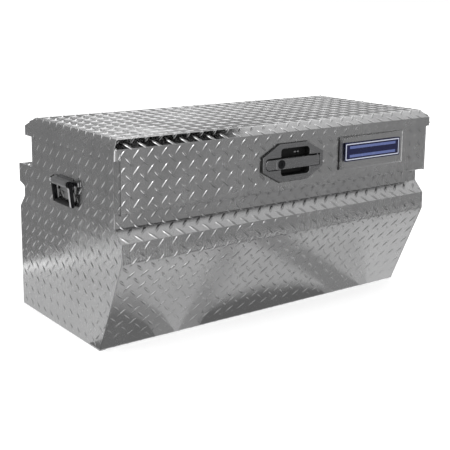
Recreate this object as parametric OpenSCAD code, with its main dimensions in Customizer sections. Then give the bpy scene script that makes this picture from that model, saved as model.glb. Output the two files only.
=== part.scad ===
// Wedge-front truck tool box: a tread-plate tub, a rear-hinged lid with a deep
// front flange, a recessed pull-lever latch, two lid struts and two bail handles.
// Millimetres. X runs along the length, -Y is the front, +Z is up.
// The origin is at the middle of the underside.

/* [Tub] */
// Length of the tub over its end plates
body_w = 914; // [700:1:1300]
// Depth of the tub over its front and back
body_d = 490; // [470:1:560]
// Height of the box with the lid closed
body_h = 480; // [476:1:500]
// Thickness of the tread plate over its lugs
plate_t = 3; // [2:0.1:4]
// Setback of the front wall behind the lid's front flange
front_step = 28; // [26:1:34]
// Setback of the bottom edge behind the front band
wedge_in = 98; // [60:1:140]
// Height of the lower edge of the front band
band_low = 220; // [180:1:235]
// Height of the upper edge of the front band
band_high = 263; // [250:1:270]
// Height where the front slope meets the recessed wall
slope_top = 292; // [285:1:300]
// Height of the ledge at the back
ledge_z = 360; // [340:1:380]
// Depth of the ledge at the back
ledge_d = 74; // [70:1:90]
// Depth of the groove along the lower back
groove_d = 27; // [10:1:40]

/* [Lid] */
// Overhang of the lid past each end plate
lid_over = 14; // [10:1:20]
// Depth of the lid from its front face to its back edge
lid_d = 422; // [400:1:450]
// Size of the chamfer round the top
lid_chamfer = 19; // [12:1:22]
// Height of the bottom edge of the lid's side flanges
lid_side_z = 438; // [434:1:442]
// Height of the bottom edge of the lid's front flange
lid_front_z = 323; // [318:1:324]

/* [Rim and hinge] */
// Height of the tub's rim
rim_z = 462; // [458:1:464]
// Width of the rim rails
rail_w = 22; // [21:1:26]
// Radius of the hinge pin
hinge_pin_r = 2.5; // [2:0.1:3]
// Number of hinge knuckles, an odd number
knuckles = 19; // [9:2:31]

/* [Latch] */
// Length of the latch plate
latch_w = 182; // [170:1:190]
// Height of the latch plate
latch_h = 88; // [86:1:94]
// Height of the middle of the latch plate
latch_z = 391; // [390:1:392]
// Height of the pull lever
lever_h = 25; // [20:1:28]

/* [Label] */
// Length of the label recess
label_recess_w = 224; // [180:1:240]
// Height of the label recess
label_recess_h = 82; // [60:1:90]
// Distance of the label from the middle of the lid
label_x = 258; // [240:1:270]

/* [Bail handles] */
// Height of the bail's pivot
bail_z = 355; // [348:1:360]
// Distance of the bail's pivot from the tub's front
bail_y = 240; // [230:1:260]
// Distance between the middles of the bail's two arms
bail_w = 80; // [76:1:92]
// Drop from the pivot to the middle of the grip bar
bail_drop = 47.5; // [44:0.5:54]

/* [Lid struts] */
// Distance of the strut's lower pivot from the tub's front
strut_low_y = 235.7; // [235.4:0.1:236]
// Height of the strut's lower pivot
strut_low_z = 269.9; // [269.6:0.1:270.2]
// Distance of the strut's upper pivot from the tub's front
strut_high_y = 357.6; // [357.3:0.1:357.9]
// Height of the strut's upper pivot
strut_high_z = 448; // [447.7:0.1:448.3]
// Distance of each strut from the middle of the box
strut_x = 420; // [418:1:424]

/* [Hidden] */
$fn = 48;

// Planes of the tub
front_y = -body_d / 2;
back_y = body_d / 2;
end_x = body_w / 2;
inner_x = end_x - plate_t;
wall_y = front_y + front_step;
upper_back_y = back_y - ledge_d;
groove_low = 252;
groove_flat_low = 282;
groove_flat_high = 306;
groove_high = 314;
// Clearance between bodies that move past each other
gap = 0.5;
// Radial clearance of a running fit
run = 0.05;

// Lid planes
lid_x = end_x + lid_over;
lid_back_y = front_y + lid_d;
// The inner chamfer keeps the plate's thickness measured square to it
inner_chamfer = lid_chamfer - (2 - sqrt(2)) * plate_t;
hem_depth = 10;
hem_t = 2;

// Rails and seal
rail_t = 2;
rail_leg = 22;
seal_w = 9;
seal_front_inset = 6;
seal_rear_inset = 12;

// Hinge
leaf_t = 1.5;
knuckle_r = 5;
hinge_y = lid_back_y;
hinge_z = lid_side_z;
leaf_h = 28;
hinge_w = body_w - 12;
knuckle_pitch = hinge_w / knuckles;
rivet_r = 2.4;
rivet_head_r = 4.5;
rivet_head_t = 1.5;
hinge_rivets = 9;
hinge_rivet_pitch = 104;
hinge_rivet_drop = 19;
lid_leaf_h = 21;
hinge_rivet_rise = 13;

// Latch
dish_t = 5.5;
gasket_t = 3.5;
channel_left = -83;
channel_right = 81;
channel_half = 15;
channel_side = 4;
tail_way_left = 62;
tail_way_half = 6.5;
pocket_left = -38;
pocket_right = 49;
pocket_low = latch_z - 30;
pocket_high = latch_z + 33;
pocket_depth = 12;
pan_wall = 2;
latch_rivet_x = [18, 27];
latch_rivet_z = latch_z + 19.5;
latch_rivet_r = 1.5;
latch_rivet_head_r = 3;
octagon_flat_top = 42;
octagon_flat_side = 17;
lever_pin_half = 14.5;
lever_z = latch_z - 2.5;
lever_r = 4;
lever_x = 76;
lever_y = front_y - 2;
lever_pin_r = 2;
lever_tail_t = 3.8;
lever_tail_half = 5;
lever_tail_reach = 22;
lock_x = -37;
lock_r = 8;
bezel_r = 10.5;
keyway_half = 1;
keyway_reach = 4.5;
claw_x = 15;
claw_z = 352;
claw_pin_r = 3;
claw_y = front_y + 15.5;
claw_t = 3.5;
claw_eye_r = 8;
claw_half = 7;
claw_low = 17;
claw_hook = 18;
claw_hook_h = 6;
claw_tail_half = 4;
claw_tail_reach = 26;
bar_t = 3;
bar_low = claw_z + 22;
case_y = front_y + 20;
case_t = 2;
case_left = -22;
case_right = 34;
case_post_x = [-16, 29];
case_post_z = claw_z + 14;
spring_r = 5.2;

// Striker
striker_z = 346;
striker_r = 4;
striker_head_r = 5.5;
striker_plate_t = 2;
striker_plate_half = 8;
striker_plate_reach = 23;
striker_screw_up = 16;

// Label and lid stiffeners
label_recess_t = 2.4;
label_plate_x = label_x + 6;
label_plate_z = latch_z + 4;
label_plate_w = 191;
label_plate_h = 46;
label_plate_t = 1.5;
front_stiffener_y = front_y + 130;
rear_stiffener_y = front_y + 270;

// Bail handles
handle_y = front_y + bail_y;
handle_x = end_x + 10.5;
handle_pin_r = 4;
pin_head_r = 5.5;
pin_head_t = 3;
handle_plate_t = 2;
handle_plate_low = bail_z - 22;
handle_plate_high = bail_z + 11;
handle_barrel_r = 9;
handle_web = 4;
ear_reach = 62;
ear_z = bail_z + 3;
ear_h = 10;
ear_rivet_y = 56;
low_rivet_y = 27;
low_rivet_z = bail_z - 16;
bail_arm_t = 8;
bail_eye_r = 8;
bail_arm_r = 5;
bail_foot_r = 4.5;
bail_bar_r = 3.5;
grip_x = end_x + 5.7;
grip_z = bail_z - bail_drop;
grip_r = 5;

// Struts
strut_y = front_y + strut_low_y;
strut_run_y = strut_high_y - strut_low_y;
strut_run_z = strut_high_z - strut_low_z;
strut_len = sqrt(strut_run_y * strut_run_y + strut_run_z * strut_run_z);
strut_lean = atan2(strut_run_y, strut_run_z);
strut_tube_r = 9;
strut_bore_r = 7.6;
strut_rod_r = 4;
strut_eye_r = 8;
strut_eye_w = 16;
strut_pin_r = 4;
strut_neck_r = 5;
strut_neck_len = 16;
strut_tube_end = strut_len - 26;
gland_t = 8;
piston_at = 60;
piston_t = 10;
rod_end_r = 6;
rod_end_len = 22;
strut_boss_r = 7;
strut_plate_t = 2.5;
strut_plate_half = 20;
lid_bracket_x = strut_x - 20;
lid_bracket_t = 3;
lid_bracket_w = 24;
lid_bracket_ahead = 26;
lid_bracket_behind = 8;
lid_bracket_drop = 8;

// Outline of the front wall, from its top to the underside
front_line = [
    [wall_y, rim_z],
    [wall_y, slope_top],
    [front_y, band_high],
    [front_y, band_low],
    [front_y + wedge_in, 0]
];
// Outline of the back wall, from the underside to its top
back_line = [
    [back_y, 0],
    [back_y, groove_low],
    [back_y - groove_d, groove_flat_low],
    [back_y - groove_d, groove_flat_high],
    [back_y, groove_high],
    [back_y, ledge_z],
    [upper_back_y, ledge_z],
    [upper_back_y, rim_z]
];

// Unit vector square to the left of the line from a to b
function left_of(a, b) = [a[1] - b[1], b[0] - a[0]] / norm(b - a);
// Where corner i of a line goes when the line moves to its left by t
function moved(line, i, t) =
    i == 0 ? line[0] + t * left_of(line[0], line[1]) :
    i == len(line) - 1 ? line[i] + t * left_of(line[i - 1], line[i]) :
    let (a = left_of(line[i - 1], line[i]), b = left_of(line[i], line[i + 1]))
    line[i] + t * (a + b) / (1 + a * b);
function reversed(list) = [for (i = [len(list) - 1 : -1 : 0]) list[i]];
// Stretch of the wedge wall's thickness along the underside
wedge_cut = plate_t * sqrt(wedge_in * wedge_in + band_low * band_low) / band_low;

// Carries an outline in Y and Z from x0 to x1
module along_x(x0, x1) {
    translate([x0, 0, 0]) rotate([90, 0, 90]) linear_extrude(x1 - x0) children();
}

// Carries an outline in X and Z from y0 to y1
module along_y(y0, y1) {
    translate([0, y1, 0]) rotate([90, 0, 0]) linear_extrude(y1 - y0) children();
}

// A box given by its lowest and highest corners
module span(low, high) {
    translate(low) cube(high - low);
}

// A round bar along X, Y or Z
module bar_x(x0, x1, y, z, r) {
    translate([x0, y, z]) rotate([0, 90, 0]) cylinder(h = x1 - x0, r = r);
}

module bar_y(x, y0, y1, z, r) {
    translate([x, y0, z]) rotate([-90, 0, 0]) cylinder(h = y1 - y0, r = r);
}

module bar_z(x, y, z0, z1, r) {
    translate([x, y, z0]) cylinder(h = z1 - z0, r = r);
}

// ---- Tub ----

module front_panel() {
    inner = [for (i = [0 : len(front_line) - 2]) moved(front_line, i, plate_t)];
    foot = [front_y + wedge_in + wedge_cut, 0];
    color("silver") difference() {
        along_x(-inner_x, inner_x) polygon(concat(front_line, [foot], reversed(inner)));
        striker_screw_pair(wall_y - 1, wall_y + plate_t + 1, rivet_r + run);
    }
}

module back_panel() {
    inner = [for (i = [0 : len(back_line) - 1]) moved(back_line, i, plate_t)];
    color("silver") difference() {
        along_x(-inner_x, inner_x) polygon(concat(back_line, reversed(inner)));
        hinge_rivet_row(upper_back_y - plate_t - 1, upper_back_y + 1, -hinge_rivet_drop, rivet_r + run);
    }
}

module floor_panel() {
    color("silver") along_x(-inner_x, inner_x) polygon([
        [front_y + wedge_in + wedge_cut, 0],
        [back_y - plate_t, 0],
        [back_y - plate_t, plate_t],
        [front_y + wedge_in + wedge_cut - plate_t * wedge_in / band_low, plate_t]
    ]);
}

// The end plate reaches forward to the lid's front flange above the step
module end_plate_outline() {
    nose_y = front_y + plate_t + gap;
    polygon(concat(
        [[nose_y + 11, rim_z], [nose_y, rim_z - 12], [nose_y, lid_front_z], [wall_y, lid_front_z]],
        [for (i = [1 : len(front_line) - 1]) front_line[i]],
        back_line
    ));
}

module left_end_plate() {
    color("silver") difference() {
        along_x(-end_x, -inner_x) end_plate_outline();
        mirror([1, 0, 0]) handle_rivet_set(inner_x - 1, end_x + 1, rivet_r + run);
    }
}

module right_end_plate() {
    color("silver") difference() {
        along_x(inner_x, end_x) end_plate_outline();
        handle_rivet_set(inner_x - 1, end_x + 1, rivet_r + run);
    }
}

module front_rim_rail() {
    y = wall_y + plate_t;
    color("lightgray") along_x(-inner_x, inner_x) polygon([
        [y, rim_z], [y, rim_z - rail_leg], [y + rail_t, rim_z - rail_leg],
        [y + rail_t, rim_z - rail_t], [y + rail_w, rim_z - rail_t], [y + rail_w, rim_z]
    ]);
}

module rear_rim_rail() {
    y = upper_back_y - plate_t;
    color("lightgray") along_x(-inner_x, inner_x) polygon([
        [y, rim_z], [y, rim_z - rail_leg], [y - rail_t, rim_z - rail_leg],
        [y - rail_t, rim_z - rail_t], [y - rail_w, rim_z - rail_t], [y - rail_w, rim_z]
    ]);
}

module side_rim_rail() {
    color("lightgray") along_y(wall_y + plate_t + rail_w, upper_back_y - plate_t - rail_w) polygon([
        [inner_x, rim_z], [inner_x, rim_z - rail_leg], [inner_x - rail_t, rim_z - rail_leg],
        [inner_x - rail_t, rim_z - rail_t], [inner_x - rail_w, rim_z - rail_t], [inner_x - rail_w, rim_z]
    ]);
}

module left_rim_rail() {
    mirror([1, 0, 0]) side_rim_rail();
}

module right_rim_rail() {
    side_rim_rail();
}

module weather_seal() {
    x = inner_x - seal_front_inset;
    y0 = wall_y + plate_t + seal_front_inset;
    y1 = upper_back_y - plate_t - seal_rear_inset;
    top = body_h - plate_t - gap;
    color("black") difference() {
        span([-x, y0, rim_z], [x, y1, top]);
        span([-x + seal_w, y0 + seal_w, rim_z - 1], [x - seal_w, y1 - seal_w, top + 1]);
    }
}

// ---- Hinge ----

// Rivets in a row along the hinge, a distance up from its axis
module hinge_rivet_row(y0, y1, up, r) {
    for (i = [0 : hinge_rivets - 1])
        bar_y((i - (hinge_rivets - 1) / 2) * hinge_rivet_pitch, y0, y1, hinge_z + up, r);
}

// Knuckles of one leaf: first is 0 for the tub's and 1 for the lid's
module hinge_knuckles(first) {
    for (i = [first : 2 : knuckles - 1]) {
        x = -hinge_w / 2 + i * knuckle_pitch;
        bar_x(x + gap / 2, x + knuckle_pitch - gap / 2, hinge_y, hinge_z, knuckle_r);
    }
}

module hinge_body_leaf() {
    color("gainsboro") difference() {
        union() {
            span([-hinge_w / 2, upper_back_y, hinge_z - leaf_h],
                 [hinge_w / 2, upper_back_y + leaf_t, hinge_z - knuckle_r - gap]);
            for (i = [0 : 2 : knuckles - 1]) {
                x = -hinge_w / 2 + i * knuckle_pitch;
                span([x + gap / 2, upper_back_y, hinge_z - knuckle_r - 2],
                     [x + knuckle_pitch - gap / 2, upper_back_y + 2, hinge_z]);
            }
            hinge_knuckles(0);
        }
        bar_x(-hinge_w, hinge_w, hinge_y, hinge_z, hinge_pin_r + run);
        hinge_rivet_row(upper_back_y - 1, upper_back_y + leaf_t + 1, -hinge_rivet_drop, rivet_r + run);
    }
}

module hinge_lid_leaf() {
    y0 = hinge_y - plate_t - leaf_t;
    color("gainsboro") difference() {
        union() {
            span([-hinge_w / 2, y0, hinge_z + knuckle_r + gap],
                 [hinge_w / 2, y0 + leaf_t, hinge_z + lid_leaf_h]);
            for (i = [1 : 2 : knuckles - 1]) {
                x = -hinge_w / 2 + i * knuckle_pitch;
                span([x + gap / 2, y0, hinge_z],
                     [x + knuckle_pitch - gap / 2, y0 + leaf_t, hinge_z + knuckle_r + 2]);
            }
            hinge_knuckles(1);
        }
        bar_x(-hinge_w, hinge_w, hinge_y, hinge_z, hinge_pin_r + run);
        hinge_rivet_row(y0 - 1, y0 + leaf_t + 1, hinge_rivet_rise, rivet_r + run);
    }
}

module hinge_pin() {
    color("gray") bar_x(-hinge_w / 2 - 3, hinge_w / 2 + 3, hinge_y, hinge_z, hinge_pin_r);
}

module hinge_body_rivets() {
    y0 = upper_back_y - plate_t;
    y1 = upper_back_y + leaf_t;
    color("silver") {
        hinge_rivet_row(y0 - rivet_head_t, y1 + rivet_head_t, -hinge_rivet_drop, rivet_r);
        hinge_rivet_row(y1, y1 + rivet_head_t, -hinge_rivet_drop, rivet_head_r);
        hinge_rivet_row(y0 - rivet_head_t, y0, -hinge_rivet_drop, rivet_head_r);
    }
}

module hinge_lid_rivets() {
    y0 = hinge_y - plate_t - leaf_t;
    color("silver") {
        hinge_rivet_row(y0 - 1, hinge_y + rivet_head_t, hinge_rivet_rise, rivet_r);
        hinge_rivet_row(hinge_y, hinge_y + rivet_head_t, hinge_rivet_rise, rivet_head_r);
        hinge_rivet_row(y0 - 1, y0, hinge_rivet_rise, rivet_head_r);
    }
}

// ---- Striker ----

// The striker's two screws, above and below its stud
module striker_screw_pair(y0, y1, r) {
    for (side = [-1, 1]) bar_y(0, y0, y1, striker_z + side * striker_screw_up, r);
}

module striker() {
    color("gray") {
        difference() {
            span([-striker_plate_half, wall_y - striker_plate_t, striker_z - striker_plate_reach],
                 [striker_plate_half, wall_y, striker_z + striker_plate_reach]);
            striker_screw_pair(wall_y - striker_plate_t - 1, wall_y + 1, rivet_r + run);
        }
        bar_y(0, claw_y - 1.5, wall_y - 1, striker_z, striker_r);
        bar_y(0, claw_y - 3, claw_y - 1, striker_z, striker_head_r);
    }
}

module striker_screws() {
    color("gray") {
        striker_screw_pair(wall_y - striker_plate_t - 1, wall_y + plate_t + 3, rivet_r);
        striker_screw_pair(wall_y - striker_plate_t - 2, wall_y - striker_plate_t, rivet_head_r);
        striker_screw_pair(wall_y + plate_t, wall_y + plate_t + 3, rivet_head_r);
    }
}

// ---- Bail handles, drawn at the right end ----

// The four rivets of a handle's bracket: two in its ears and two below its barrel
module handle_rivet_set(x0, x1, r) {
    for (side = [-1, 1]) {
        bar_x(x0, x1, handle_y + side * ear_rivet_y, ear_z, r);
        bar_x(x0, x1, handle_y + side * low_rivet_y, low_rivet_z, r);
    }
}

module handle_plate() {
    half = bail_w / 2 - bail_arm_t / 2 - gap;
    color("dimgray") difference() {
        union() {
            span([end_x, handle_y - half, handle_plate_low],
                 [end_x + handle_plate_t, handle_y + half, handle_plate_high]);
            span([end_x, handle_y - ear_reach, ear_z - ear_h / 2],
                 [end_x + handle_plate_t, handle_y + ear_reach, ear_z + ear_h / 2]);
            span([end_x + 1, handle_y - half, bail_z - handle_web],
                 [handle_x, handle_y + half, bail_z + handle_web]);
            bar_y(handle_x, handle_y - half, handle_y + half, bail_z, handle_barrel_r);
        }
        bar_y(handle_x, handle_y - bail_w, handle_y + bail_w, bail_z, handle_pin_r + run);
        handle_rivet_set(end_x - 1, end_x + handle_plate_t + 1, rivet_r + run);
    }
}

module handle_rivets() {
    color("gray") {
        handle_rivet_set(inner_x - rivet_head_t, end_x + handle_plate_t + rivet_head_t, rivet_r);
        handle_rivet_set(end_x + handle_plate_t, end_x + handle_plate_t + rivet_head_t, rivet_head_r);
        handle_rivet_set(inner_x - rivet_head_t, inner_x, rivet_head_r);
    }
}

module handle_pin() {
    reach = bail_w / 2 + bail_arm_t / 2 + gap;
    color("dimgray") {
        bar_y(handle_x, handle_y - reach - 1, handle_y + reach + 1, bail_z, handle_pin_r);
        bar_y(handle_x, handle_y - reach - pin_head_t, handle_y - reach, bail_z, pin_head_r);
        bar_y(handle_x, handle_y + reach, handle_y + reach + pin_head_t, bail_z, pin_head_r);
    }
}

// An arm tapers from its eye to the grip bar, which hangs closer to the end plate
module bail_arm(y) {
    along_y(y - bail_arm_t / 2, y + bail_arm_t / 2) {
        translate([handle_x, bail_z]) circle(r = bail_eye_r);
        hull() {
            translate([handle_x, bail_z]) circle(r = bail_arm_r);
            translate([grip_x, grip_z]) circle(r = bail_foot_r);
        }
    }
}

module bail() {
    color("dimgray") difference() {
        union() {
            bail_arm(handle_y - bail_w / 2);
            bail_arm(handle_y + bail_w / 2);
            bar_y(grip_x, handle_y - bail_w / 2, handle_y + bail_w / 2, grip_z, bail_bar_r);
        }
        bar_y(handle_x, handle_y - bail_w, handle_y + bail_w, bail_z, handle_pin_r + run);
    }
}

module bail_grip() {
    half = bail_w / 2 - bail_arm_t / 2 - gap;
    color("black") difference() {
        bar_y(grip_x, handle_y - half, handle_y + half, grip_z, grip_r);
        bar_y(grip_x, handle_y - bail_w, handle_y + bail_w, grip_z, bail_bar_r + run);
    }
}

module right_handle_plate() {
    handle_plate();
}

module left_handle_plate() {
    mirror([1, 0, 0]) handle_plate();
}

module right_handle_rivets() {
    handle_rivets();
}

module left_handle_rivets() {
    mirror([1, 0, 0]) handle_rivets();
}

module right_handle_pin() {
    handle_pin();
}

module left_handle_pin() {
    mirror([1, 0, 0]) handle_pin();
}

module right_bail() {
    bail();
}

module left_bail() {
    mirror([1, 0, 0]) bail();
}

module right_bail_grip() {
    bail_grip();
}

module left_bail_grip() {
    mirror([1, 0, 0]) bail_grip();
}

// ---- Lid ----

// A block of the lid's shape with chamfered top edges; inset 0 is the outside
module lid_block(inset, chamfer, low) {
    x = lid_x - inset;
    y0 = front_y + inset;
    y1 = lid_back_y - inset;
    top = body_h - inset;
    intersection() {
        along_x(-x, x) polygon([
            [y0, low], [y1, low], [y1, top - chamfer], [y1 - chamfer, top],
            [y0 + chamfer, top], [y0, top - chamfer]
        ]);
        along_y(y0, y1) polygon([
            [-x, low], [x, low], [x, top - chamfer], [x - chamfer, top],
            [-x + chamfer, top], [-x, top - chamfer]
        ]);
    }
}

// Hole in the lid's front flange that the latch dish drops into
module latch_cutout(y0, y1, margin) {
    half = channel_half + margin;
    span([channel_left - pan_wall - margin, y0, lever_z - half],
         [channel_right + channel_side + margin, y1, lever_z + half]);
    span([pocket_left - pan_wall - margin, y0, pocket_low - pan_wall - margin],
         [pocket_right + pan_wall + margin, y1, pocket_high + pan_wall + margin]);
}

module label_recess(y0, y1, margin) {
    x = label_recess_w / 2 + margin;
    z = label_recess_h / 2 + margin;
    span([label_x - x, y0, latch_z + 3 - z], [label_x + x, y1, latch_z + 3 + z]);
}

module lid_skin() {
    color("silver") difference() {
        union() {
            difference() {
                lid_block(0, lid_chamfer, lid_side_z);
                lid_block(plate_t, inner_chamfer, lid_side_z - 1);
                span([-hinge_w / 2 - 4, lid_back_y - plate_t - 1, lid_side_z - 1],
                     [hinge_w / 2 + 4, lid_back_y + 1, lid_side_z + knuckle_r + gap]);
            }
            span([-end_x, front_y, lid_front_z], [end_x, front_y + plate_t, lid_side_z + 1]);
            span([-inner_x + 2, front_y + 1, lid_front_z],
                 [inner_x - 2, front_y + hem_depth, lid_front_z + hem_t]);
            label_recess(front_y + 1, front_y + plate_t + label_recess_t, plate_t);
        }
        label_recess(front_y - 1, front_y + label_recess_t, 0);
        latch_cutout(front_y - 1, front_y + plate_t + 1, 0.3);
        hinge_rivet_row(lid_back_y - plate_t - 1, lid_back_y + 1, hinge_rivet_rise, rivet_r + run);
    }
}

// A channel under the lid's top, open downwards
module lid_stiffener(y) {
    half = 380;
    width = 40;
    height = 12;
    t = 1.5;
    top = body_h - plate_t;
    color("lightgray") along_x(-half, half) polygon([
        [y, top], [y, top - height], [y + t, top - height], [y + t, top - t],
        [y + width - t, top - t], [y + width - t, top - height], [y + width, top - height], [y + width, top]
    ]);
}

module front_lid_stiffener() {
    lid_stiffener(front_stiffener_y);
}

module rear_lid_stiffener() {
    lid_stiffener(rear_stiffener_y);
}

module label_plate() {
    x = label_plate_w / 2;
    z = label_plate_h / 2;
    y = front_y + label_recess_t;
    color("midnightblue") span([label_plate_x - x, y - label_plate_t, label_plate_z - z],
                               [label_plate_x + x, y, label_plate_z + z]);
}

// ---- Latch ----

// Elongated octagon: lengths of its outline and of its top edge
module octagon(width, height, flat_top, flat_side) {
    x = width / 2;
    z = height / 2;
    polygon([
        [-x, -flat_side], [-flat_top, -z], [flat_top, -z], [x, -flat_side],
        [x, flat_side], [flat_top, z], [-flat_top, z], [-x, flat_side]
    ]);
}

module latch_plate_outline(inset) {
    translate([0, latch_z])
        octagon(latch_w - 2 * inset, latch_h - 2 * inset, octagon_flat_top, octagon_flat_side);
}

module latch_dish() {
    pocket_y = front_y + pocket_depth;
    color("gray") difference() {
        union() {
            along_y(front_y - dish_t, front_y - gasket_t) latch_plate_outline(0);
            intersection() {
                latch_cutout(front_y - gasket_t - 1, pocket_y + pan_wall, 0);
                union() {
                    span([-latch_w / 2, front_y - gasket_t - 1, lever_z - channel_half - 1],
                         [latch_w / 2, lever_y + lever_r + pan_wall + gap, lever_z + channel_half + 1]);
                    span([pocket_left - pan_wall, front_y - gasket_t - 1, pocket_low - pan_wall],
                         [pocket_right + pan_wall, pocket_y + pan_wall, pocket_high + pan_wall]);
                }
            }
        }
        // channel that the lever lies in
        span([channel_left, front_y - dish_t - 1, lever_z - lever_h / 2 - gap],
             [channel_right, lever_y + lever_r + 0.3, lever_z + lever_h / 2 + gap]);
        // finger pocket
        span([pocket_left, front_y - dish_t - 1, pocket_low], [pocket_right, pocket_y, pocket_high]);
        // way through for the lever's tail
        span([tail_way_left, front_y, lever_z - tail_way_half],
             [channel_right + 3, front_y + 5, lever_z + tail_way_half]);
        bar_z(lever_x, lever_y, lever_z - 20, lever_z + 20, lever_pin_r + run);
        for (x = latch_rivet_x)
            bar_y(x, front_y, pocket_y + pan_wall + 1, latch_rivet_z, latch_rivet_r + run);
    }
}

module latch_gasket() {
    color("black") difference() {
        along_y(front_y - gasket_t, front_y) latch_plate_outline(0.5);
        latch_cutout(front_y - gasket_t - 1, front_y + 1, 0.3);
    }
}

module lever_pin() {
    color("gray") bar_z(lever_x, lever_y, lever_z - lever_pin_half, lever_z + lever_pin_half, lever_pin_r);
}

module pull_lever() {
    z0 = lever_z - lever_h / 2;
    z1 = lever_z + lever_h / 2;
    left = channel_left + 1;
    color("darkgray") difference() {
        union() {
            // bar with a round left end
            span([left + lever_h / 2, lever_y - lever_r, z0], [lever_x, lever_y + lever_r, z1]);
            bar_y(left + lever_h / 2, lever_y - lever_r, lever_y + lever_r, lever_z, lever_h / 2);
            bar_z(lever_x, lever_y, z0, z1, lever_r);
            // tail that pushes the release bar
            span([lever_x, lever_y, lever_z - lever_tail_half],
                 [lever_x + lever_tail_t, lever_y + lever_tail_reach, lever_z + lever_tail_half]);
        }
        bar_z(lever_x, lever_y, z0 - 1, z1 + 1, lever_pin_r + run);
        bar_y(lock_x, lever_y - lever_r - 1, lever_y + lever_r + 1, lever_z, lock_r + run);
    }
}

module lock_bezel() {
    y1 = lever_y - lever_r;
    color("gray") difference() {
        bar_y(lock_x, y1 - 1, y1, lever_z, bezel_r);
        bar_y(lock_x, y1 - 2, y1 + 1, lever_z, lock_r + 0.3);
    }
}

module lock_plug() {
    color("dimgray") difference() {
        bar_y(lock_x, lever_y - lever_r - 1, lever_y + lever_r - gap, lever_z, lock_r);
        span([lock_x - keyway_half, lever_y - lever_r - 2, lever_z - keyway_reach],
             [lock_x + keyway_half, lever_y - 1, lever_z + keyway_reach]);
    }
}

module release_bar() {
    color("gray") span([claw_x + claw_tail_half + gap, claw_y, bar_low],
                       [lever_x - 1, claw_y + bar_t, lever_z + lever_tail_half - gap]);
}

module latch_case() {
    color("gray") difference() {
        union() {
            span([case_left, case_y, striker_z - 18], [case_right, case_y + case_t, claw_z + 20]);
            for (x = case_post_x)
                bar_y(x, front_y + pocket_depth + pan_wall, case_y + 1, case_post_z, 3);
        }
        // slot that the striker's stud passes up through
        span([-7, case_y - 1, striker_z - 19], [7, case_y + case_t + 1, striker_z + 7]);
        bar_y(claw_x, case_y - 1, case_y + case_t + 1, claw_z, claw_pin_r + run);
    }
}

module latch_claw() {
    color("silver") difference() {
        union() {
            bar_y(claw_x, claw_y, claw_y + claw_t, claw_z, claw_eye_r);
            span([claw_x - claw_half, claw_y, claw_z - claw_low],
                 [claw_x + claw_half, claw_y + claw_t, claw_z]);
            span([claw_x - claw_hook, claw_y, claw_z - claw_low],
                 [claw_x, claw_y + claw_t, claw_z - claw_low + claw_hook_h]);
            span([claw_x - claw_tail_half, claw_y, claw_z],
                 [claw_x + claw_tail_half, claw_y + claw_t, claw_z + claw_tail_reach]);
        }
        bar_y(claw_x, claw_y - 1, claw_y + claw_t + 1, claw_z, claw_pin_r + run);
    }
}

module claw_pin() {
    color("gray") {
        bar_y(claw_x, claw_y - 1, case_y + 7, claw_z, claw_pin_r);
        bar_y(claw_x, claw_y - 1.2, claw_y - 0.3, claw_z, 5);
    }
}

// Return spring, with its turns drawn as one sleeve
module claw_spring() {
    color("black") difference() {
        bar_y(claw_x, case_y + case_t + 0.3, case_y + 6.5, claw_z, spring_r);
        bar_y(claw_x, case_y + case_t, case_y + 7, claw_z, claw_pin_r + 0.3);
    }
}

module latch_rivets() {
    y0 = front_y + pocket_depth;
    color("white") for (x = latch_rivet_x) {
        bar_y(x, y0 - 1, y0 + pan_wall + 1, latch_rivet_z, latch_rivet_r);
        bar_y(x, y0 - 1.2, y0, latch_rivet_z, latch_rivet_head_r);
        bar_y(x, y0 + pan_wall, y0 + pan_wall + 1, latch_rivet_z, latch_rivet_head_r);
    }
}

// ---- Lid struts, drawn at the right end ----

module strut_frame() {
    translate([strut_x, strut_y, strut_low_z]) rotate([-strut_lean, 0, 0]) children();
}

module strut_bracket() {
    color("gray") {
        span([inner_x - strut_plate_t, strut_y - strut_plate_half, strut_low_z - strut_plate_half],
             [inner_x, strut_y + strut_plate_half, strut_low_z + strut_plate_half]);
        bar_x(strut_x + strut_eye_w / 2 + gap, inner_x - 1, strut_y, strut_low_z, strut_boss_r);
        bar_x(strut_x - strut_eye_w / 2 - 1, inner_x - 1, strut_y, strut_low_z, strut_pin_r);
    }
}

module strut_tube() {
    color("black") strut_frame() difference() {
        union() {
            bar_x(-strut_eye_w / 2, strut_eye_w / 2, 0, 0, strut_eye_r);
            bar_z(0, 0, 0, strut_neck_len, strut_neck_r);
            bar_z(0, 0, strut_neck_len - 2, strut_tube_end, strut_tube_r);
        }
        bar_x(-strut_eye_w, strut_eye_w, 0, 0, strut_pin_r + run);
        bar_z(0, 0, strut_neck_len + 2, strut_tube_end - gland_t, strut_bore_r);
        bar_z(0, 0, strut_neck_len + 2, strut_tube_end + 1, strut_rod_r + run);
    }
}

module strut_rod() {
    color("silver") strut_frame() {
        bar_z(0, 0, piston_at, strut_len - 4, strut_rod_r);
        bar_z(0, 0, piston_at + 2 - piston_t, piston_at + 2, strut_bore_r - 0.1);
        bar_z(0, 0, strut_len - rod_end_len, strut_len, rod_end_r);
        bar_x(-strut_eye_w / 2, strut_eye_w / 2, 0, strut_len, strut_eye_r);
    }
}

// The stud stops just short of the rod's end, which is the open pivot
module lid_strut_bracket() {
    y = front_y + strut_high_y;
    top = body_h - plate_t;
    x1 = lid_bracket_x + lid_bracket_t;
    y0 = y - lid_bracket_ahead;
    y1 = y + lid_bracket_behind;
    color("gray") {
        span([lid_bracket_x, y0, strut_high_z - lid_bracket_drop], [x1, y1, top]);
        span([lid_bracket_x - lid_bracket_w, y0, top - strut_plate_t], [x1, y1, top]);
        bar_x(lid_bracket_x + 1, strut_x - strut_eye_w / 2 - gap, y, strut_high_z, strut_pin_r);
        bar_x(lid_bracket_x + 1, strut_x - strut_eye_w / 2 - 3, y, strut_high_z, 6.5);
    }
}

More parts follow.
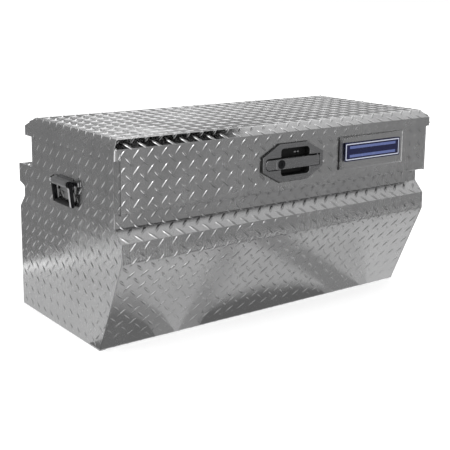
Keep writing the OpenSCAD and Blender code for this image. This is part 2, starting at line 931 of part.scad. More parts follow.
module right_strut_bracket() {
    strut_bracket();
}

module left_strut_bracket() {
    mirror([1, 0, 0]) strut_bracket();
}

module right_strut_tube() {
    strut_tube();
}

module left_strut_tube() {
    mirror([1, 0, 0]) strut_tube();
}

module right_strut_rod() {
    strut_rod();
}

module left_strut_rod() {
    mirror([1, 0, 0]) strut_rod();
}

module right_lid_strut_bracket() {
    lid_strut_bracket();
}

module left_lid_strut_bracket() {
    mirror([1, 0, 0]) lid_strut_bracket();
}

front_panel();
back_panel();
floor_panel();
left_end_plate();
right_end_plate();
front_rim_rail();
rear_rim_rail();
left_rim_rail();
right_rim_rail();
weather_seal();
hinge_body_leaf();
hinge_pin();
hinge_body_rivets();
striker();
striker_screws();
left_strut_bracket();
right_strut_bracket();
left_handle_plate();
right_handle_plate();
left_handle_rivets();
right_handle_rivets();
left_handle_pin();
right_handle_pin();
left_bail();
right_bail();
left_bail_grip();
right_bail_grip();
lid_skin();
front_lid_stiffener();
rear_lid_stiffener();
hinge_lid_leaf();
hinge_lid_rivets();
left_lid_strut_bracket();
right_lid_strut_bracket();
label_plate();
latch_dish();
latch_gasket();
latch_case();
latch_rivets();
lever_pin();
claw_pin();
claw_spring();
pull_lever();
lock_bezel();
lock_plug();
release_bar();
latch_claw();
left_strut_tube();
right_strut_tube();
left_strut_rod();
right_strut_rod();
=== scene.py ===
"""Looks of the wedge-fronted truck tool box: rolled tread plate with real lugs, a pressed latch, a label,
bail handles, hinge and struts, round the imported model. Lengths in the mesh code are millimetres."""
import math
import bmesh
import bpy
import numpy as np
from mathutils import Matrix, Vector


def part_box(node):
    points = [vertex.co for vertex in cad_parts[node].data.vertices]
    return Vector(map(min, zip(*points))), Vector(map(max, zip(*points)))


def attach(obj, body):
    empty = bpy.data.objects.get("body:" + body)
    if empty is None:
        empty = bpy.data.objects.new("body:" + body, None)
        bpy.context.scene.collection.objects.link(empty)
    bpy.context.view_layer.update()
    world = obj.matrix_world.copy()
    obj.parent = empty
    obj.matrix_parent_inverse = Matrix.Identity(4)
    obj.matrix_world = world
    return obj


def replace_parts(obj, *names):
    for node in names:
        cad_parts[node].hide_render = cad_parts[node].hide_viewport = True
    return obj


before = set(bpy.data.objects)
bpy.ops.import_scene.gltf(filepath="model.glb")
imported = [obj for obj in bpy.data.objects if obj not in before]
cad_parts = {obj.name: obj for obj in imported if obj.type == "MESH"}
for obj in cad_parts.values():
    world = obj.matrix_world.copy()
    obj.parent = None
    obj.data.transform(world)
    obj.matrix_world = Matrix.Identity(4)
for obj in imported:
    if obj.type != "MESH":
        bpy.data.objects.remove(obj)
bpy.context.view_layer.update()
scene = bpy.context.scene
MM = 0.001


def box_mm(node):
    """Lowest and highest corner of a CAD node, in millimetres."""
    low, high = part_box(node)
    return np.array(low) / MM, np.array(high) / MM


def middle(node):
    low, high = box_mm(node)
    return (low + high) / 2


# ---- The plate's measures ----
PLATE = 3.0          # over the lugs
TREAD_SMOOTH = 48    # degrees between faces that still shade as one
LUG = 1.4            # height of a lug
PITCH = 34.5         # of the tread pattern, both ways
LUG_HALF = 13.6      # half a lug's length
LUG_WIDE = 3.1       # half a lug's width
BEND = 4.2           # radius of a bend's outer face
BEND_STEP = 0.22     # radians between the stations of a bend

lid_low, lid_high = box_mm("lid_skin")
end_low, end_high = box_mm("right_end_plate")
front_low, front_high = box_mm("front_panel")
back_high = box_mm("back_panel")[1]
floor_low, floor_high = box_mm("floor_panel")
latch_low, latch_high = box_mm("latch_dish")
lever_low, lever_high = box_mm("pull_lever")
label_low, label_high = box_mm("label_plate")

END_X = end_high[0]
FRONT_Y, BACK_Y = front_low[1], back_high[1]
RIM_Z = front_high[2]
LID_X, LID_BACK, TOP = lid_high[0], lid_high[1], lid_high[2]
CHAMFER = 19.0
SIDE_Z = 438.0       # lower edge of the lid's side flanges
BACK_RISE = 6.0      # how much higher the lid's back flange ends
HEM_Z = lid_low[2]   # lower edge of the lid's front flange
HEM = 10.0
WALL_Y = FRONT_Y + 28.0
BAND_LOW, BAND_HIGH, SLOPE_TOP = 220.0, 263.0, 292.0
WEDGE = 98.0
LEDGE_Z, UPPER_BACK = 360.0, BACK_Y - 74.0
GROOVE = 27.0
GROOVE_EDGES = (252.0, 282.0, 306.0, 314.0)
SAME = 2e-6          # metres between points that are joined up


# ---- Mesh helpers ----

def unit(v):
    return v / np.linalg.norm(v)


def units(rows):
    return rows / np.linalg.norm(rows, axis=-1, keepdims=True)


def lengths(points):
    """How far along a line each of its points is."""
    return np.concatenate([[0], np.cumsum(np.linalg.norm(np.diff(points, axis=0), axis=1))])


def between(s, stations, rows):
    """Rows at lengths s, between the rows at the stations."""
    return np.stack([np.interp(s, stations, column) for column in rows.T], -1)


class Bent:
    """A line of flat runs joined by round bends, measured along its length. side is 1 if the outside lies
    to the left of the way it runs, and -1 if to the right."""

    def __init__(self, corners, side):
        corners = [np.array(c, float) for c in corners]
        points, normals = [corners[0]], [self.left(unit(corners[1] - corners[0])) * side]
        for before, here, after in zip(corners, corners[1:], corners[2:]):
            a, b = unit(here - before), unit(after - here)
            turn = math.atan2(a[0] * b[1] - a[1] * b[0], float(a @ b))
            start = here - a * BEND * math.tan(abs(turn) / 2)
            centre = start + self.left(a) * math.copysign(BEND, turn)
            steps = max(3, int(abs(turn) / BEND_STEP))
            for k in range(steps + 1):
                angle = turn * k / steps
                c, s = math.cos(angle), math.sin(angle)
                spin = np.array([[c, -s], [s, c]])
                points.append(centre + spin @ (start - centre))
                normals.append(spin @ self.left(a) * side)
        points.append(corners[-1])
        normals.append(self.left(unit(corners[-1] - corners[-2])) * side)
        self.points, self.normals = np.array(points), np.array(normals)
        self.s = lengths(self.points)
        self.length = self.s[-1]

    @staticmethod
    def left(v):
        return np.array([-v[1], v[0]])

    def inside(self, depth):
        """The line's points, moved in from the outer face by depth."""
        return self.points - self.normals * depth

    def at(self, s, depth):
        """Points at lengths s along the line, moved in from the outer face by depth."""
        p, n = between(s, self.s, self.points), units(between(s, self.s, self.normals))
        return p - n * np.asarray(depth)[..., None]


class Parts:
    """Vertices and faces gathered for one mesh."""

    def __init__(self):
        self.verts, self.faces, self.slots, self.count = [], [], [], 0

    def add(self, verts, faces, slot=0):
        verts = np.asarray(verts, float).reshape(-1, 3)
        self.verts.append(verts)
        self.faces += [tuple(int(i) + self.count for i in f) for f in faces]
        self.slots += [slot] * len(faces)
        self.count += len(verts)
        return self

    def make(self, name, materials, smooth=35, bevel=0.0):
        mesh = bpy.data.meshes.new(name)
        mesh.from_pydata((np.vstack(self.verts) * MM).tolist(), [], self.faces)
        mesh.validate()
        bm = bmesh.new()
        bm.from_mesh(mesh)
        bmesh.ops.recalc_face_normals(bm, faces=bm.faces)
        bm.to_mesh(mesh)
        bm.free()
        for m in materials:
            mesh.materials.append(m)
        if len(materials) > 1:
            mesh.polygons.foreach_set("material_index", self.slots)
        return as_object(name, mesh, smooth, bevel)


def shade(mesh, angle):
    """Smooth shading but for edges sharper than angle, in degrees."""
    mesh.polygons.foreach_set("use_smooth", [True] * len(mesh.polygons))
    mesh.set_sharp_from_angle(angle=math.radians(angle))


def round_edges(obj, width, segments=2, angle=28):
    mod = obj.modifiers.new("edges", "BEVEL")
    mod.width, mod.segments = width * MM, segments
    mod.limit_method, mod.angle_limit = "ANGLE", math.radians(angle)
    mod.use_clamp_overlap = True


def linked(name, data):
    obj = bpy.data.objects.new(name, data)
    scene.collection.objects.link(obj)
    return obj


def as_object(name, mesh, smooth, bevel, segments=2):
    shade(mesh, smooth)
    obj = linked(name, mesh)
    if bevel:
        round_edges(obj, bevel, segments)
    return obj


def thick(outer, inner, faces):
    """A closed sheet: faces on the outer points, the same ones on the inner points, and its rims."""
    n = len(outer)
    used = {(f[i], f[(i + 1) % len(f)]) for f in faces for i in range(len(f))}
    rims = [(b, a, a + n, b + n) for a, b in used if (b, a) not in used]
    back = [tuple(i + n for i in reversed(f)) for f in faces]
    return np.vstack([outer, inner]), [*faces, *back, *sorted(rims)]


def grid_faces(rows, cols):
    return [
        (r * cols + c, r * cols + c + 1, (r + 1) * cols + c + 1, (r + 1) * cols + c)
        for r in range(rows - 1) for c in range(cols - 1)
    ]


def ring_faces(rings, n, close=True):
    """Faces between rings of n points each, and over the first and last ring."""
    faces = [
        (k * n + i, k * n + (i + 1) % n, (k + 1) * n + (i + 1) % n, (k + 1) * n + i)
        for k in range(rings - 1) for i in range(n)
    ]
    if close:
        faces += [tuple(reversed(range(n))), tuple(range((rings - 1) * n, rings * n))]
    return faces


def loft(rings, close=True):
    """A closed solid through rings of equal length."""
    rings = [np.asarray(r, float) for r in rings]
    return np.vstack(rings), ring_faces(len(rings), len(rings[0]), close)


def rounded_outline(x0, x1, z0, z1, radius, steps=5):
    """A rectangle in X and Z with round corners. radius is one number, or four from the lower left round."""
    radii = [radius] * 4 if np.isscalar(radius) else radius
    corners = [(x0, z0, 1, 1, 180), (x1, z0, -1, 1, 270), (x1, z1, -1, -1, 0), (x0, z1, 1, -1, 90)]
    points = []
    for (x, z, sx, sz, turn), r in zip(corners, radii):
        for k in range(steps + 1):
            a = math.radians(turn + 90 * k / steps)
            points.append((x + sx * r + r * math.cos(a), z + sz * r + r * math.sin(a)))
    return np.array(points)


def at_y(outline, y):
    outline = np.asarray(outline, float)
    return np.column_stack([outline[:, 0], np.full(len(outline), y), outline[:, 1]])


def spin(axis_point, axis, profile, count):
    """A solid of revolution. profile holds pairs of a distance along the axis and a radius."""
    axis = np.array(axis, float)
    helper = (0, 0, 1.0) if abs(axis[2]) < 0.9 else (1.0, 0, 0)
    u = unit(np.cross(axis, helper))
    v = np.cross(axis, u)
    turn = np.arange(count) * 2 * math.pi / count
    circle = np.cos(turn)[:, None] * u + np.sin(turn)[:, None] * v
    least = 0.02
    return loft([np.array(axis_point, float) + axis * d + circle * max(r, least) for d, r in profile])


# ---- Tread lugs ----

# A lug's sections along it, and the places and heights of a section's points
STATIONS = np.array([0, 0.08, 0.22, 0.38, 0.5, 0.62, 0.78, 0.92, 1.0])
ACROSS = np.array([(-1, -0.15), (-0.66, 0.7), (0, 1), (0.66, 0.7), (1, -0.15)])
LUG_POINTS = len(STATIONS) * len(ACROSS)
LUG_FACES = ring_faces(len(STATIONS), len(ACROSS))
LEAST_WIDE, LEAST_RISE = 0.25, 0.12
SHORTEST = 0.3       # part of a lug, in half lengths, that is still worth making


def lugs(parts, place, inside, low, high, phase):
    """Adds the lugs whose centres lie between low and high, cut off where inside(a, b) is false.
    place(a, b, rise) gives points in space for places on the unrolled plate and heights over its flat."""
    probe = np.linspace(-1, 1, 49)
    for kind, slant in ((0, 1), (1, -1)):
        shift = kind * PITCH / 2
        way = np.array([math.cos(math.pi / 4), slant * math.sin(math.pi / 4)])
        side = np.array([-way[1], way[0]])
        counts = [np.arange(math.floor((a - p - shift) / PITCH), math.ceil((b - p - shift) / PITCH) + 1)
                  for a, b, p in zip(low, high, phase)]
        i, j = np.meshgrid(*counts, indexing="ij")
        centres = np.column_stack([i.ravel(), j.ravel()]) * PITCH + shift + np.array(phase)
        line = centres[:, None] + probe[None, :, None] * LUG_HALF * way
        good = inside(line[..., 0], line[..., 1])
        made = []
        for c, row in zip(centres, good):
            runs = np.flatnonzero(np.diff(np.concatenate([[0], row.astype(int), [0]])))
            if not len(runs):
                continue
            starts, ends = runs[::2], runs[1::2] - 1
            best = int(np.argmax(ends - starts))
            u0, u1 = probe[starts[best]], probe[ends[best]]
            if u1 - u0 < SHORTEST:
                continue
            u = u0 + (u1 - u0) * STATIONS
            wide = np.maximum(LUG_WIDE * np.clip(1 - np.abs(u) ** 2.8, 0, 1) ** 0.75, LEAST_WIDE)
            rise = np.maximum(LUG * np.clip(1 - u ** 2, 0, 1) ** 1.4, LEAST_RISE)
            ab = c + u[:, None, None] * LUG_HALF * way + (ACROSS[:, 0] * wide[:, None])[..., None] * side
            height = np.where(ACROSS[:, 1] < 0, ACROSS[:, 1], ACROSS[:, 1] * rise[:, None])
            made.append((ab, height))
        if made:
            ab, height = (np.array(each) for each in zip(*made))
            faces = [tuple(np.array(f) + k * LUG_POINTS) for k in range(len(made)) for f in LUG_FACES]
            parts.add(place(ab[..., 0], ab[..., 1], height), faces)


def inside_polygon(a, b, polygon, margin):
    """Whether points lie margin or more inside a polygon's edges. Below 0, up to that far outside too."""
    hit = np.zeros(a.shape, bool)
    near = np.full(a.shape, 1e9)
    for p, q in zip(polygon, np.roll(polygon, -1, axis=0)):
        cross = ((p[1] > b) != (q[1] > b)) & (a < (q[0] - p[0]) * (b - p[1]) / ((q[1] - p[1]) or 1e-9) + p[0])
        hit ^= cross
        d = q - p
        t = np.clip(((a - p[0]) * d[0] + (b - p[1]) * d[1]) / max(float(d @ d), 1e-9), 0, 1)
        near = np.minimum(near, np.hypot(a - p[0] - t * d[0], b - p[1] - t * d[1]))
    return hit & (near >= margin) if margin >= 0 else hit | (near <= -margin)


# ---- Materials ----

class Graph:
    """A node material with one Principled shader."""

    def __init__(self, name, colour, metallic, rough, **sockets):
        self.material = bpy.data.materials.new(name)
        self.material.use_nodes = True
        tree = self.material.node_tree
        self.nodes, self.links = tree.nodes, tree.links
        self.shader = self.nodes["Principled BSDF"]
        own = {"Base Color": (*colour, 1), "Metallic": metallic, "Roughness": rough}
        self.set(self.shader, **own, **sockets)
        self.coord = self.nodes.new("ShaderNodeTexCoord").outputs["Object"]

    @staticmethod
    def set(node, **sockets):
        for name, value in sockets.items():
            node.inputs[name].default_value = value

    def stretched(self, scale, turn=(0, 0, 0)):
        mapping = self.nodes.new("ShaderNodeMapping")
        self.set(mapping, Scale=scale, Rotation=[math.radians(t) for t in turn])
        self.links.new(self.coord, mapping.inputs["Vector"])
        return mapping.outputs[0]

    def noise(self, scale, detail=3.0, rough=0.55, source=None):
        n = self.nodes.new("ShaderNodeTexNoise")
        self.set(n, Scale=scale, Detail=detail, Roughness=rough)
        self.links.new(source or self.coord, n.inputs["Vector"])
        return n.outputs["Fac"]

    def spread(self, value, low, high, into=(0.0, 1.0)):
        m = self.nodes.new("ShaderNodeMapRange")
        self.set(m, **{"From Min": low, "From Max": high, "To Min": into[0], "To Max": into[1]})
        self.links.new(value, m.inputs["Value"])
        return m.outputs[0]

    def math(self, kind, a, b=None):
        m = self.nodes.new("ShaderNodeMath")
        m.operation = kind
        for socket, value in zip(m.inputs, (a, b)):
            if isinstance(value, (int, float)):
                socket.default_value = value
            elif value is not None:
                self.links.new(value, socket)
        return m.outputs[0]

    def mix(self, share, dark, light):
        m = self.nodes.new("ShaderNodeMix")
        m.data_type = "RGBA"
        self.links.new(share, m.inputs["Factor"])
        # Sockets 6 and 7 are the two colours
        m.inputs[6].default_value, m.inputs[7].default_value = (*dark, 1), (*light, 1)
        return m.outputs[2]

    def bump(self, height, distance, before=None):
        b = self.nodes.new("ShaderNodeBump")
        self.set(b, Strength=1.0, Distance=distance)
        self.links.new(height, b.inputs["Height"])
        if before is not None:
            self.links.new(before, b.inputs["Normal"])
        return b.outputs[0]

    def done(self, colour, rough=None, normal=None):
        for socket, value in (("Base Color", colour), ("Roughness", rough), ("Normal", normal)):
            if value is not None:
                self.links.new(value, self.shader.inputs[socket])
        return self.material


def scratches(g, scale, turn):
    """Sparse thin lines that run one way."""
    width = 0.012
    lines = g.noise(scale, 4.0, 0.6, g.stretched((1, 1, 0.03), turn))
    return g.spread(g.math("ABSOLUTE", g.math("SUBTRACT", lines, 0.5)), 0.0, width, (1.0, 0.0))


def tread_material(name, tone, rough, wave):
    """Rolled bright aluminium, not quite flat, with handling scratches and dull patches."""
    g = Graph(name, tone, 1.0, rough)
    patches = g.noise(9.0, 4.0, 0.6)
    specks = g.noise(260.0, 2.0)
    marks = g.math("MAXIMUM", scratches(g, 60.0, (20, 50, 35)), scratches(g, 45.0, (70, -25, -50)))
    marks = g.math("MULTIPLY", marks, g.spread(g.noise(5.0), 0.52, 0.7))
    shade = g.math("ADD", g.math("MULTIPLY", patches, 0.7), g.math("MULTIPLY", specks, 0.3))
    colour = g.mix(g.spread(shade, 0.3, 0.7), tuple(c * 0.86 for c in tone), tone)
    dull = g.spread(patches, 0.3, 0.7, (rough - 0.045, rough + 0.06))
    roughness = g.math("ADD", dull, g.math("MULTIPLY", marks, 0.14))
    normal = g.bump(g.noise(4.2, 2.0, 0.5), wave)
    normal = g.bump(g.noise(26.0, 2.0, 0.5), wave * 0.07, normal)
    normal = g.bump(g.noise(700.0, 2.0), 0.00002, normal)
    normal = g.bump(marks, 0.00003, normal)
    return g.done(colour, roughness, normal)


def brushed_material(name, tone, rough, stretch, depth=0.00004, blotch=0.1, metallic=1.0):
    """Metal with a grain drawn out along one way."""
    g = Graph(name, tone, metallic, rough)
    grain = g.noise(1.0, 4.0, 0.6, g.stretched(stretch))
    patches = g.noise(22.0, 3.0)
    colour = g.mix(g.spread(patches, 0.3, 0.7), tuple(c * (1 - blotch) for c in tone), tone)
    streaks = g.spread(grain, 0.2, 0.8, (rough - 0.05, rough + 0.07))
    roughness = g.math("ADD", streaks, g.spread(patches, 0.3, 0.7, (0.0, 0.05)))
    normal = g.bump(grain, depth)
    return g.done(colour, roughness, normal)


def paint_material(name, tone, rough, coat, grain, depth, worn, gloss=0.5):
    """Gloss paint or moulded plastic with fine orange peel, and worn spots in the worn tone."""
    finish = {"Coat Weight": coat, "Coat Roughness": 0.12, "Specular IOR Level": gloss}
    g = Graph(name, tone, 0.0, rough, **finish)
    spots = g.spread(g.noise(60.0, 5.0, 0.7), 0.62, 0.7)
    colour = g.mix(g.math("MULTIPLY", spots, g.spread(g.noise(9.0), 0.5, 0.65)), tone, worn)
    roughness = g.spread(g.noise(30.0, 3.0), 0.3, 0.7, (max(rough - 0.06, 0.03), rough + 0.08))
    normal = g.bump(g.noise(grain, 2.0), depth)
    return g.done(colour, roughness, normal)


def grey(tone):
    return (tone, tone, tone)


tread = tread_material("tread_plate", (0.86, 0.86, 0.865), 0.23, 0.003)
sheet_metal = brushed_material("sheet_aluminium", (0.78, 0.78, 0.785), 0.3, (6, 600, 600))
hinge_metal = brushed_material("hinge_steel", (0.62, 0.62, 0.63), 0.28, (6, 700, 700))
rivet_metal = brushed_material("rivet_aluminium", (0.75, 0.75, 0.76), 0.26, (180, 180, 180), 0.00002)
zinc = brushed_material("zinc_steel", (0.6, 0.61, 0.64), 0.32, (90, 90, 90), 0.00002, 0.2)
stainless = brushed_material("stainless_steel", (0.5, 0.5, 0.51), 0.24, (8, 800, 800), 0.00002)
lock_metal = brushed_material("lock_metal", (0.07, 0.07, 0.075), 0.3, (400, 400, 400), 0.00002)
weld_metal = brushed_material("weld_bead", (0.8, 0.8, 0.81), 0.3, (220, 220, 220), 0.00008, 0.2)
chrome = brushed_material("strut_chrome", (0.8, 0.8, 0.81), 0.1, (700, 700, 20), 0.000005, 0.04)
# Near-black paint for painted shade: the latch's hollows and side walls, and a strip in the label's recess
painted_shade_black = paint_material("painted_shade_black", grey(0.004), 0.5, 0.0, 300.0, 0.00002, grey(0.012))
black_steel = paint_material(
    "black_steel", (0.006, 0.006, 0.007), 0.2, 0.0, 260.0, 0.00003, (0.03, 0.03, 0.032), 0.14)
dark_zinc = brushed_material("dark_zinc", (0.74, 0.74, 0.75), 0.3, (300, 40, 300), 0.00003, 0.3)
# Lighter steel for the painted highlights on the bails' outer faces
painted_highlight_steel = brushed_material("painted_highlight_steel", (0.5, 0.5, 0.51), 0.4, (90, 90, 90), 0.00001, 0.1, 0.25)
strut_paint = paint_material(
    "strut_paint", (0.018, 0.018, 0.02), 0.25, 0.5, 420.0, 0.00003, (0.2, 0.2, 0.21))
grip_plastic = paint_material(
    "grip_plastic", (0.016, 0.016, 0.017), 0.45, 0.0, 900.0, 0.00006, grey(0.05))
rubber = paint_material("seal_rubber", grey(0.022), 0.6, 0.0, 1200.0, 0.00005, (0.06, 0.06, 0.058))


def label_ink(name, tone, rough, worn):
    return paint_material(name, tone, rough, 0.3, 500.0, 0.00001, worn)


label_navy = label_ink("label_navy", (0.006, 0.008, 0.045), 0.22, (0.03, 0.035, 0.09))
label_light = label_ink("label_light", (0.5, 0.52, 0.6), 0.25, (0.3, 0.32, 0.38))
label_blue = label_ink("label_blue", (0.10, 0.13, 0.30), 0.24, (0.2, 0.22, 0.36))


# ---- Tub panels ----

front_bent = Bent(
    [(FRONT_Y + WEDGE, 0), (FRONT_Y, BAND_LOW), (FRONT_Y, BAND_HIGH),
     (WALL_Y, SLOPE_TOP), (WALL_Y, RIM_Z)], 1)
back_bent = Bent(
    [(BACK_Y, 0), *zip((BACK_Y, BACK_Y - GROOVE, BACK_Y - GROOVE, BACK_Y), GROOVE_EDGES),
     (BACK_Y, LEDGE_Z), (UPPER_BACK, LEDGE_Z), (UPPER_BACK, RIM_Z)], -1)
INNER_X = END_X - PLATE
# Where a lug of the first kind lies on each unrolled panel
FRONT_PHASE, BACK_PHASE = (-424.5, 138.0), (-424.5, 20.0)
FLOOR_PHASE, END_PHASE = (-424.5, -110.0), (-207.5, 240.0)


def along_x(bent, xs, depth):
    """Points of a bent sheet over stations in X, row by row."""
    line = bent.inside(depth)
    return np.array([[(x, y, z) for x in xs] for y, z in line]).reshape(-1, 3)


def strip_place(bent):
    """The place function of lugs on a bent sheet."""
    def place(a, b, rise):
        p = bent.at(b, LUG - rise)
        return np.stack([a, p[..., 0], p[..., 1]], -1)
    return place


def bent_panel(name, bent, phase):
    side_gap, low_gap, high_gap = 0.5, 2, 1
    xs = np.linspace(-INNER_X, INNER_X, 9)
    faces = grid_faces(len(bent.points), len(xs))
    parts = Parts().add(*thick(along_x(bent, xs, LUG), along_x(bent, xs, PLATE), faces))
    lugs(parts, strip_place(bent),
         lambda a, b: (np.abs(a) < INNER_X - side_gap) & (b > low_gap) & (b < bent.length - high_gap),
         (-END_X, 0), (END_X, bent.length), phase)
    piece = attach(parts.make(name + "_tread", [tread], TREAD_SMOOTH), "root")
    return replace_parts(piece, name)


bent_panel("front_panel", front_bent, FRONT_PHASE)
bent_panel("back_panel", back_bent, BACK_PHASE)

floor_outline = np.array([
    (-INNER_X, floor_low[1]), (INNER_X, floor_low[1]), (INNER_X, floor_high[1]), (-INNER_X, floor_high[1])])


def flat_sheet(outline, outer, inner):
    """A closed flat sheet over an outline, between two functions that place it."""
    return thick(outer(outline), inner(outline), [tuple(range(len(outline)))])


def at_z(z):
    return lambda o: np.column_stack([o, np.full(len(o), z)])


floor_parts = Parts().add(*flat_sheet(floor_outline, at_z(LUG), at_z(PLATE)))
lugs(floor_parts, lambda a, b, rise: np.stack([a, b, LUG - rise], -1),
     lambda a, b: inside_polygon(a, b, floor_outline, 1.0),
     (-END_X, FRONT_Y), (END_X, BACK_Y), FLOOR_PHASE)
floor_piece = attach(floor_parts.make("floor_panel_tread", [tread], TREAD_SMOOTH), "root")
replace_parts(floor_piece, "floor_panel")

NOSE_Y = end_low[1]
NOSE_CUT = (11, 12)          # the nose's upper corner, cut off in Y and Z
EDGE_GAP = 2.5               # bare plate inside the end plates' edges
BRACKET_Y = (-41.5, 31.5)    # the handle bracket's plate
EARS_Z = (352.0, 364.5)      # and its ears
front_side = front_bent.inside(LUG)[::-1]
back_side = back_bent.inside(LUG)
# The nose stands proud of the wall only above the lower edge of the lid's front flange
end_outline = np.vstack([
    [(NOSE_Y + NOSE_CUT[0], RIM_Z), (NOSE_Y, RIM_Z - NOSE_CUT[1]), (NOSE_Y, HEM_Z)],
    [(front_side[0][0], HEM_Z)], front_side[1:], back_side])
apart = np.linalg.norm(np.diff(end_outline, axis=0), axis=1) > 1e-6
end_outline = end_outline[np.concatenate([[True], apart])]


def end_plate(side, name):
    def at_x(depth):
        return lambda o: np.column_stack([np.full(len(o), side * (END_X - depth)), o])

    parts = Parts().add(*flat_sheet(end_outline, at_x(LUG), at_x(PLATE)))
    bracket_low, bracket_high = box_mm(name.replace("end_plate", "handle_plate"))
    gap = 0.5
    ears = (bracket_low[1] - gap, bracket_high[1] + gap, *EARS_Z)
    plate = (*BRACKET_Y, bracket_low[2] - gap, bracket_high[2] + gap)

    def inside(a, b):
        y = a * side
        clear = inside_polygon(y, b, end_outline, EDGE_GAP)
        for y0, y1, z0, z1 in (ears, plate):
            clear &= ~((y > y0) & (y < y1) & (b > z0) & (b < z1))
        return clear

    def place(a, b, rise):
        return np.stack([np.full(a.shape, side * (END_X - LUG)) + side * rise, a * side, b], -1)

    lugs(parts, place, inside, (-BACK_Y, 0), (BACK_Y, RIM_Z), END_PHASE)
    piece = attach(parts.make(name + "_tread", [tread], TREAD_SMOOTH), "root")
    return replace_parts(piece, name)


end_plate(-1, "left_end_plate")
end_plate(1, "right_end_plate")


BEAD = 1.25          # radius of a weld
WELD_X, WELD_DEPTH, WELD_LOWEST = INNER_X + 0.6, LUG + 0.2, BEAD + 0.3


def bead(name, points):
    """A weld bead: a rippled round seam along a line."""
    ripple = 3.2
    points = np.array(points, float)
    steps = lengths(points)
    s = np.arange(0, steps[-1], ripple / 3)
    line = between(s, steps, points)
    way = units(np.gradient(line, axis=0))
    out = units(np.cross(way, (1.0, 0, 0)))
    up = np.cross(way, out)
    # Even ripples, and a slow uneven swelling
    size = BEAD * (1 + 0.14 * np.cos(s * 2 * math.pi / ripple)
                   + 0.08 * np.sin(s * 0.21) * np.sin(s * 0.083))
    size[[0, -1]] *= 0.3
    turn = np.arange(8) * math.pi / 4
    rings = [p + r * (np.cos(turn)[:, None] * o + np.sin(turn)[:, None] * u)
             for p, r, o, u in zip(line, size, out, up)]
    return Parts().add(*loft(rings)).make(name, [weld_metal], 60)


for side, hand in ((-1, "left"), (1, "right")):
    for place, bent in (("front", front_bent), ("back", back_bent)):
        seam = [(side * WELD_X, y, max(z, WELD_LOWEST)) for y, z in bent.inside(WELD_DEPTH)]
        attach(bead(f"{hand}_{place}_weld", seam), "root")

# ---- Lid ----

# From a flange's edge up: distances in from the outside, and heights
lid_profile = Bent([(0, SIDE_Z), (0, TOP - CHAMFER), (CHAMFER, TOP), (60, TOP)], 1)
CORNER = 3.6         # radius of the lid's upright corners
RISE_X = 455.0       # the back flange ends higher between these places
# Boxes on the front: lowest and highest X, then Z
RECESS = (146.0, 370.0, 353.0, 435.0)
PAN_HOLE, CHANNEL_HOLE = (-41.0, 52.0, 358.0, 427.0), (-86.0, 86.0, 372.0, 406.5)
RECESS_DEEP = 2.4
WALL_RUN = 1.4       # width of the recess's sloping wall
STEP = np.array([0, 0.2, 0.5, 0.8, 1.0])
flange_x = np.unique(np.round(np.concatenate([
    np.linspace(-END_X + LUG, END_X - LUG, 15), RECESS[0] + WALL_RUN * STEP, RECESS[1] - WALL_RUN * STEP,
    PAN_HOLE[:2], CHANNEL_HOLE[:2]]), 3))
flange_z = np.unique(np.round(np.concatenate([
    [SIDE_Z], RECESS[2] + WALL_RUN * STEP, RECESS[3] - WALL_RUN * STEP,
    PAN_HOLE[2:], CHANNEL_HOLE[2:]]), 3))[::-1]
hem_bent = Bent([(FRONT_Y, flange_z[-1]), (FRONT_Y, HEM_Z), (FRONT_Y + HEM, HEM_Z)], -1)


def wall(run):
    """How deep the recess's wall is, from 0 to 1, this far inside its edge."""
    v = np.clip(run / WALL_RUN, 0, 1)
    return v * v * (3 - 2 * v)


def recess_depth(x, z):
    x0, x1, z0, z1 = RECESS
    across = wall(x - x0) * wall(x1 - x)
    return RECESS_DEEP * across * wall(z - z0) * wall(z1 - z)


def lid_points(depth):
    """The lid's surface at depth inside its outer faces: rings from the flanges' edge up, then the front
    flange's rows. Also a ring's length, and the numbers of rings and of rows."""
    corner = CORNER - depth
    reach = LID_X - depth - corner
    front_x = np.concatenate([[-reach], flange_x, [reach]])
    points = []
    line = lid_profile.inside(depth)[:-1]
    for k, (d, z) in enumerate(line):
        x, y0, y1 = LID_X - d - corner, FRONT_Y + d + corner, LID_BACK - d - corner
        ring = [(px * x / reach, y0 - corner, z) for px in front_x]
        for cx, cy, turn in ((x, y0, -90), (x, y1, 0), (-x, y1, 90), (-x, y0, 180)):
            arc = [math.radians(turn + 90 * t / 4) for t in range(5)]
            inner = [(cx + corner * math.cos(a), cy + corner * math.sin(a), z) for a in arc]
            if turn == -90:
                inner = inner[1:]
            if turn == 180:
                inner = inner[:-1]
            ring += inner
            if turn == 0:
                ring += [(px * x / reach, y1 + corner, z)
                         for px in (RISE_X, RISE_X - 0.1, 0.1 - RISE_X, -RISE_X)]
        if k == 0:
            ring = [(px, py, SIDE_Z + BACK_RISE if py > LID_BACK - 4 and abs(px) < RISE_X - 0.05 else pz)
                    for px, py, pz in ring]
        points.append(ring)
    ring_size = len(points[0])
    rings = np.array(points).reshape(-1, 3)
    lower = [[(x, FRONT_Y + depth + recess_depth(x, z), z) for x in flange_x] for z in flange_z[1:]]
    lower += [[(x, y, z) for x in flange_x] for y, z in hem_bent.inside(depth)[1:]]
    return np.vstack([rings, np.array(lower).reshape(-1, 3)]), ring_size, len(line), len(lower)


lid_outer, ring_size, ring_rows, lower_rows = lid_points(LUG)
lid_inner = lid_points(PLATE)[0]
cols = len(flange_x)
lid_faces = ring_faces(ring_rows, ring_size, False)
lid_faces.append(tuple(range((ring_rows - 1) * ring_size, ring_rows * ring_size)))
start = ring_rows * ring_size


def in_hole(r, c):
    """Whether a face of the front flange lies in one of the latch's holes."""
    x = (flange_x[c] + flange_x[c + 1]) / 2
    z = (flange_z[r] + flange_z[r + 1]) / 2 if r + 1 < len(flange_z) else 0
    return any(x0 < x < x1 and z0 < z < z1 for x0, x1, z0, z1 in (PAN_HOLE, CHANNEL_HOLE))


